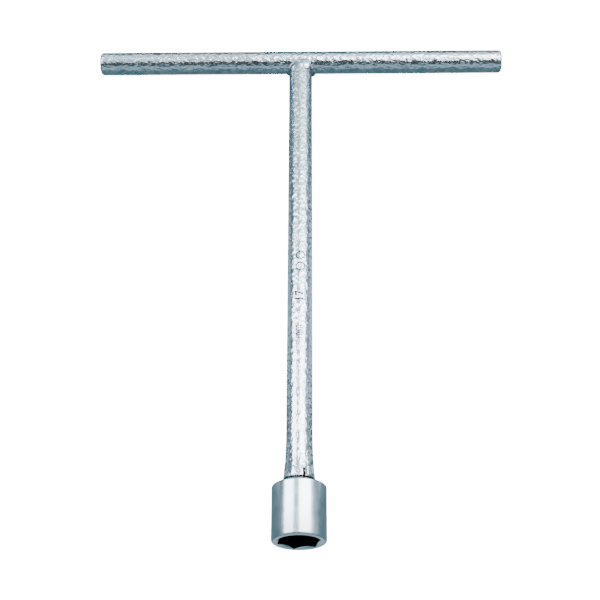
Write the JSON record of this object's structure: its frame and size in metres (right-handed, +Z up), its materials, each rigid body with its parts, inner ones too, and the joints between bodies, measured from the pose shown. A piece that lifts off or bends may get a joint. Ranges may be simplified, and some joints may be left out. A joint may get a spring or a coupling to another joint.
{
  "type": "t-handle socket wrench",
  "caption": "Fixed T-handle socket wrench for 17 mm hexagon nuts: a round crossbar welded to a round shank with a short turned socket.",
  "frame": {"origin": "on the surface that the tool lies on, under the middle of the tool's box", "axes": "+X along the crossbar, +Y from the socket towards the crossbar along the surface, +Z up; the shank slopes down 1.5 degrees towards the crossbar, because the socket is thicker than the bar"},
  "size_m": [0.21, 0.2662, 0.0251],
  "materials": {
    "plated_bar": "bright zinc plating over rough hot-rolled bar, stippled and softly shiny",
    "plated_turned": "bright zinc plating over a fine turned surface, satin",
    "plated_weld": "plated weld bead, uneven and a little darker"
  },
  "bodies": {
    "root": {"crossbar": "plated_bar", "shank": "plated_bar", "socket": "plated_turned", "crossbar_weld_left": "plated_weld", "crossbar_weld_right": "plated_weld", "foot_bead": "plated_weld"}
  },
  "joints": []
}
